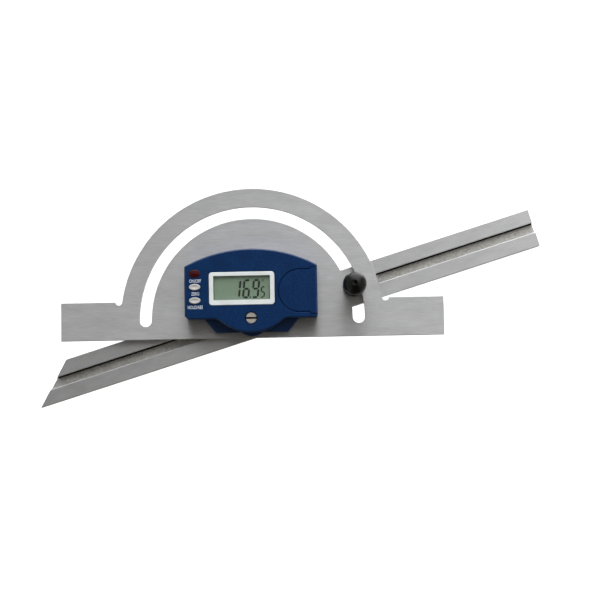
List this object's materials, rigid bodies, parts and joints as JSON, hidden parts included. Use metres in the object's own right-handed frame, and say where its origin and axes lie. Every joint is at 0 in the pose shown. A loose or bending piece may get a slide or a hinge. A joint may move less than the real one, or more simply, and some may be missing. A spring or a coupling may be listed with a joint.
{
  "type": "angle finder",
  "caption": "Digital angle finder: a steel protractor plate with a slotted bow, a grooved sliding rail on a pivot, a clamp knob and a display unit.",
  "frame": {"origin": "on the pivot axis, at the rail's back face", "axes": "+X along the base of the plate, +Y towards the top of the bow, +Z out of the display"},
  "size_m": [0.2869, 0.1235, 0.029],
  "materials": {
    "plate_steel": "fine ground",
    "rail_steel": "fine ground lengthwise",
    "bronze": "turned bronze",
    "screw_steel": "turned, zinc plated",
    "washer_steel": "black oxide",
    "fitting_brass": "turned",
    "knob_black": "polished phenolic",
    "cover_blue": "satin moulded",
    "bezel_white": "moulded",
    "window_clear": "clear",
    "lcd_glass": "grey-green liquid crystal glass",
    "silicone": "moulded silicone",
    "button_red": "moulded",
    "button_white": "moulded",
    "board_laminate": "solder mask on glass fibre",
    "component_black": "epoxy",
    "cell_steel": "nickel-plated steel",
    "contact_steel": "nickel-plated spring steel"
  },
  "bodies": {
    "plate": {"protractor_plate": "plate_steel", "pivot_bush": "bronze", "rear_cover": "cover_blue", "front_cover": "cover_blue", "display_bezel": "bezel_white", "display_window": "window_clear", "lcd_panel": "lcd_glass", "lcd_connector_strips": "silicone", "power_dome": "silicone", "zero_dome": "silicone", "hold_dome": "silicone", "sensor_board": "board_laminate", "board_components": "component_black", "coin_cell": "cell_steel", "cell_contact_negative": "contact_steel", "cell_contact_positive": "contact_steel", "mount_screws": "screw_steel", "case_screws": "screw_steel"},
    "pivot": {"pivot_hub": "screw_steel", "curved_spring": "screw_steel", "rotor_carrier": "fitting_brass", "rotor_disc": "board_laminate", "spacer_sleeve": "fitting_brass", "pivot_screw": "screw_steel", "clamp_bolt": "screw_steel", "clamp_washer": "washer_steel"},
    "rail": {"rail": "rail_steel"},
    "knob": {"clamp_knob": "knob_black", "knob_insert": "fitting_brass"},
    "power_button": {"power_button": "button_red"},
    "zero_button": {"zero_button": "button_white"},
    "hold_button": {"hold_button": "button_white"},
    "battery_cover": {"battery_cover": "cover_blue"}
  },
  "joints": [
    {"name": "rail_swing", "type": "hinge", "parent": "plate", "child": "pivot", "pos_m": [0, 0, 0.0053], "axis": [0, 0, 1], "range_deg": [-16.95, 163.05]},
    {"name": "rail_slide", "type": "slide", "parent": "pivot", "child": "rail", "axis": [0.9566, 0.2915, 0], "range_m": [-0.1, 0.1]},
    {"name": "knob_turn", "type": "hinge", "parent": "pivot", "child": "knob", "pos_m": [0.05816, 0.01773, 0.016], "axis": [0, 0, 1], "range_deg": [0, 360]},
    {"name": "power_press", "type": "slide", "parent": "plate", "child": "power_button", "axis": [0, 0, -1], "range_m": [0, 0.0005], "stiffness_N_per_m": 1500, "springref_m": -0.0003, "deforming": ["power_dome"]},
    {"name": "zero_press", "type": "slide", "parent": "plate", "child": "zero_button", "axis": [0, 0, -1], "range_m": [0, 0.0005], "stiffness_N_per_m": 1500, "springref_m": -0.0003, "deforming": ["zero_dome"]},
    {"name": "hold_press", "type": "slide", "parent": "plate", "child": "hold_button", "axis": [0, 0, -1], "range_m": [0, 0.0005], "stiffness_N_per_m": 1500, "springref_m": -0.0003, "deforming": ["hold_dome"]},
    {"name": "lid_slide", "type": "slide", "parent": "plate", "child": "battery_cover", "axis": [1, 0, 0], "range_m": [0, 0.016]}
  ]
}
